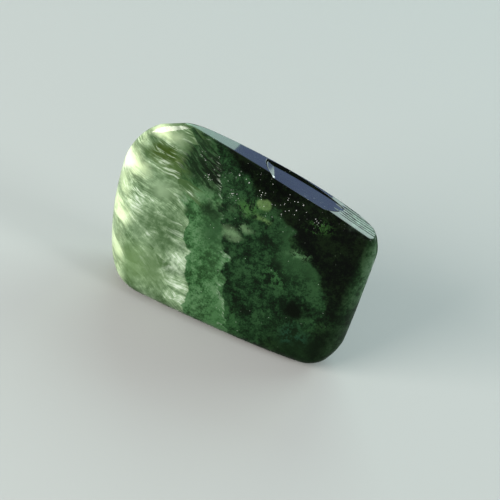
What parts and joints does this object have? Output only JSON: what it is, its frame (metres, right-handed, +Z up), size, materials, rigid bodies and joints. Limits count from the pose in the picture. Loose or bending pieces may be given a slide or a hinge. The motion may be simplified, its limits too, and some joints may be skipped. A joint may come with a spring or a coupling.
{
  "type": "tumbled seraphinite stone",
  "caption": "Polished tumbled seraphinite pebble, a slim rounded slab that stands on the flat along its lower edge, with a ground upper facet.",
  "frame": {"origin": "on the surface that the stone stands on, under the middle of its bounding box", "axes": "+Z up, +X along the stone's length, -Y out of its broad front face"},
  "size_m": [0.0272, 0.0084, 0.0196],
  "materials": {
    "seraphinite": "polished deep green stone with silvery, silky fibres; tumbled to a high gloss"
  },
  "bodies": {
    "root": {"tumbled_stone": "seraphinite"}
  },
  "joints": []
}
